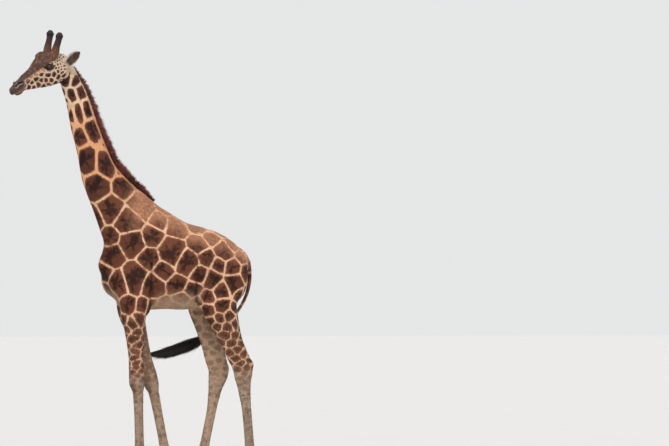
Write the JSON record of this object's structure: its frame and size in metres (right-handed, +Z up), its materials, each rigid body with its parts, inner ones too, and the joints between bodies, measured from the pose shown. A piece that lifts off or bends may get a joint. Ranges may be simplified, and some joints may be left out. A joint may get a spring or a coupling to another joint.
{
  "type": "giraffe",
  "caption": "Life-size still model of a standing giraffe, head up and turned a little, forelegs apart, tail swung forward past one hind leg.",
  "frame": {"origin": "middle of the animal's box at floor level, on the plane of the hoof soles", "axes": "+Z up, the animal faces -X, its left side towards -Y"},
  "size_m": [2.6066, 0.7856, 4.4833],
  "materials": {
    "coat": "short flat hair, brown polygon patches on cream lines",
    "mane": "short upright dark red-brown hair",
    "tail_tuft": "long black hair",
    "ossicone": "skin-covered bone horn with dark hair",
    "hoof": "dull grey-brown horn",
    "eye": "wet, dark brown"
  },
  "bodies": {
    "root": {"ear_left": "coat", "ear_right": "coat", "eye_left": "eye", "eye_right": "eye", "foreleg_left_cannon": "coat", "foreleg_left_hoof_inner": "hoof", "foreleg_left_hoof_outer": "hoof", "foreleg_left_pastern": "coat", "foreleg_left_upper": "coat", "foreleg_right_cannon": "coat", "foreleg_right_hoof_inner": "hoof", "foreleg_right_hoof_outer": "hoof", "foreleg_right_pastern": "coat", "foreleg_right_upper": "coat", "head": "coat", "hindleg_left_cannon": "coat", "hindleg_left_hoof_inner": "hoof", "hindleg_left_hoof_outer": "hoof", "hindleg_left_pastern": "coat", "hindleg_left_upper": "coat", "hindleg_right_cannon": "coat", "hindleg_right_hoof_inner": "hoof", "hindleg_right_hoof_outer": "hoof", "hindleg_right_pastern": "coat", "hindleg_right_upper": "coat", "lower_jaw": "coat", "mane": "mane", "neck": "coat", "ossicone_left": "ossicone", "ossicone_right": "ossicone", "tail": "coat", "tail_tuft": "tail_tuft", "trunk": "coat"}
  },
  "joints": []
}
